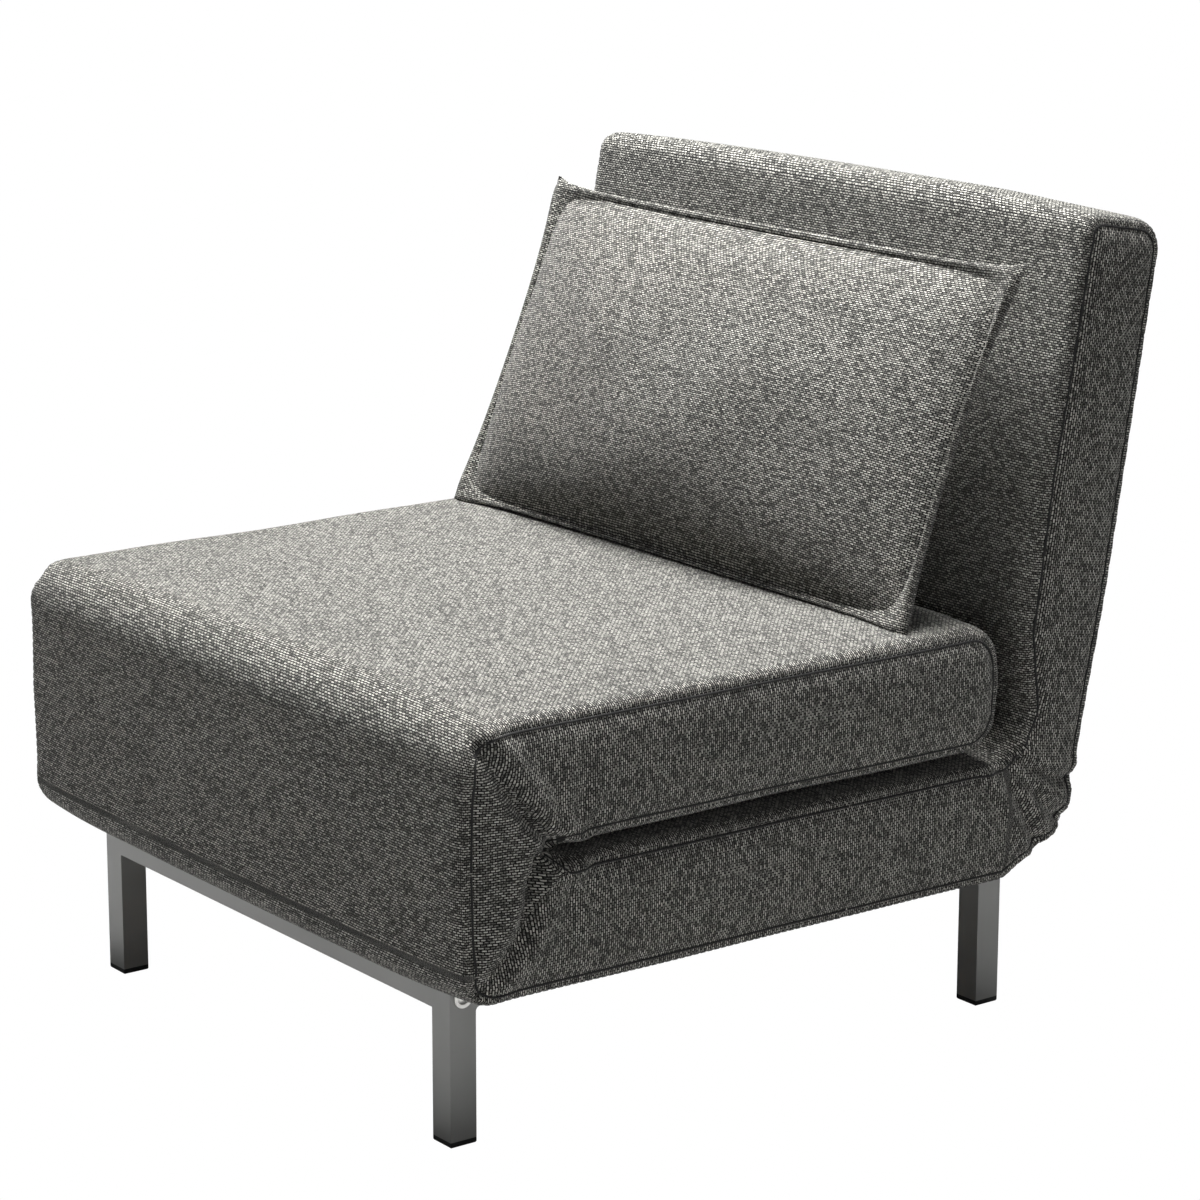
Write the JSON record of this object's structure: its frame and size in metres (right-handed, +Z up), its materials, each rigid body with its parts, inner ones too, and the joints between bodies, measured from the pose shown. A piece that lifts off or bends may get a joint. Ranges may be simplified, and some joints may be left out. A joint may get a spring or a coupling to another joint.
{
  "type": "convertible chair bed",
  "caption": "Armless upholstered chair with a low tube frame whose three-section mattress unfolds forward while the backrest drops flat to make a single bed.",
  "frame": {"origin": "centre of the footprint of the whole object, on the floor", "axes": "+X to the right as seen from the front, -Y to the front, +Z up"},
  "size_m": [0.824, 0.8674, 0.8478],
  "materials": {
    "frame_paint": "silver-grey satin powder coat on steel tube",
    "bright_steel": "zinc-plated bolts, washers, pins and hinge leaves",
    "hidden_steel": "black stove-enamelled inner frames",
    "black_plastic": "moulded black plastic, fine grain",
    "slat_wood": "bent beech plywood, sealed",
    "webbing": "elastic webbing",
    "upholstery": "coarse charcoal melange basket weave",
    "foam": "cut polyurethane foam"
  },
  "bodies": {
    "base": {"side_frame_right": "frame_paint", "side_frame_left": "frame_paint", "front_rail": "frame_paint", "rear_rail": "frame_paint", "rail_inserts": "bright_steel", "frame_bolts": "bright_steel", "frame_washers": "bright_steel", "foot_caps": "black_plastic", "deck_slats": "slat_wood", "slat_holders": "black_plastic", "stay_rod": "hidden_steel", "stay_saddles": "black_plastic", "fold_brackets": "bright_steel", "lower_link_pins": "bright_steel", "base_cover": "upholstery", "base_foam": "foam", "hinge_leaf_right": "bright_steel", "hinge_leaf_left": "bright_steel", "hinge_pins": "bright_steel"},
    "fold_link": {"link_bar_right": "bright_steel", "link_bar_left": "bright_steel", "fold_cover": "upholstery", "fold_foam": "foam"},
    "seat": {"seat_frame": "hidden_steel", "seat_straps": "webbing", "upper_link_pins": "bright_steel", "seat_cover": "upholstery", "seat_foam": "foam", "stand_pins": "bright_steel"},
    "stand": {"stand_rod": "hidden_steel", "stand_feet": "black_plastic"},
    "backrest": {"hinge_arm_right": "bright_steel", "hinge_arm_left": "bright_steel", "detent_balls": "bright_steel", "back_frame": "hidden_steel", "back_straps": "webbing", "back_cover": "upholstery", "back_foam": "foam"},
    "pillow": {"pillow_cover": "upholstery", "pillow_filling": "foam"}
  },
  "joints": [
    {"name": "mattress_fold", "type": "hinge", "parent": "base", "child": "fold_link", "pos_m": [0, -0.40174, 0.1963], "axis": [1, 0, 0], "range_deg": [0, 90], "deforming": ["pillow_cover", "pillow_filling"]},
    {"name": "seat_turn", "type": "hinge", "parent": "fold_link", "child": "seat", "pos_m": [0, -0.40174, 0.4123], "axis": [1, 0, 0], "range_deg": [0, 90]},
    {"name": "stand_swing", "type": "hinge", "parent": "seat", "child": "stand", "pos_m": [0, 0.15926, 0.4233], "axis": [-1, 0, 0], "range_deg": [0, 90]},
    {"name": "back_recline", "type": "hinge", "parent": "base", "child": "backrest", "pos_m": [0, 0.27326, 0.255], "axis": [-1, 0, 0], "range_deg": [0, 80]},
    {"name": "pillow_lift", "type": "slide", "parent": "backrest", "child": "pillow", "axis": [0, 0.1736, 0.9848], "range_m": [0, 0.45]}
  ],
  "couplings": [
    {"joint": "seat_turn", "follows": "mattress_fold", "ratio": 1},
    {"joint": "stand_swing", "follows": "mattress_fold", "ratio": 1}
  ]
}
